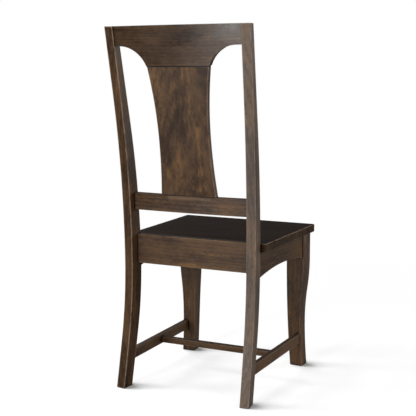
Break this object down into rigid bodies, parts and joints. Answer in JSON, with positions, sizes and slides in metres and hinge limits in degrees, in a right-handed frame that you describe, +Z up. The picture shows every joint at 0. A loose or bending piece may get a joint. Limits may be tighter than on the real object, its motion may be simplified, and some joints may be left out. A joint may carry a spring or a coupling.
{
  "type": "dining chair",
  "caption": "Wooden splat-back dining chair with raked S-shaped rear posts, coved crest rail, plank seat, curved front legs and an H stretcher.",
  "frame": {"origin": "on the floor, under the middle of the chair's bounding box", "axes": "+Z up, -Y towards the front of the seat, +X towards the sitter's left"},
  "size_m": [0.4588, 0.5221, 1.068],
  "materials": {
    "wood_frame": "satin",
    "wood_back": "satin",
    "wood_seat": "satin",
    "wood_raw": "matte",
    "screw_steel": "satin",
    "glide_plastic": "matte"
  },
  "bodies": {
    "root": {"rear_post_left": "wood_frame", "rear_post_right": "wood_frame", "front_leg_left": "wood_frame", "front_leg_right": "wood_frame", "crest_rail": "wood_back", "back_splat": "wood_back", "lower_back_rail": "wood_back", "rear_seat_rail": "wood_frame", "front_seat_rail": "wood_frame", "side_seat_rail_left": "wood_frame", "side_seat_rail_right": "wood_frame", "seat_board_1": "wood_seat", "seat_board_2": "wood_seat", "seat_board_3": "wood_seat", "seat_board_4": "wood_seat", "side_stretcher_left": "wood_frame", "side_stretcher_right": "wood_frame", "cross_stretcher": "wood_frame", "corner_block_rear_left": "wood_raw", "corner_block_rear_right": "wood_raw", "corner_block_front_left": "wood_raw", "corner_block_front_right": "wood_raw", "seat_rail_dowels": "wood_raw", "corner_block_screws": "screw_steel", "seat_screws": "screw_steel", "floor_glide_rear_left": "glide_plastic", "floor_glide_rear_right": "glide_plastic", "floor_glide_front_left": "glide_plastic", "floor_glide_front_right": "glide_plastic"}
  },
  "joints": []
}
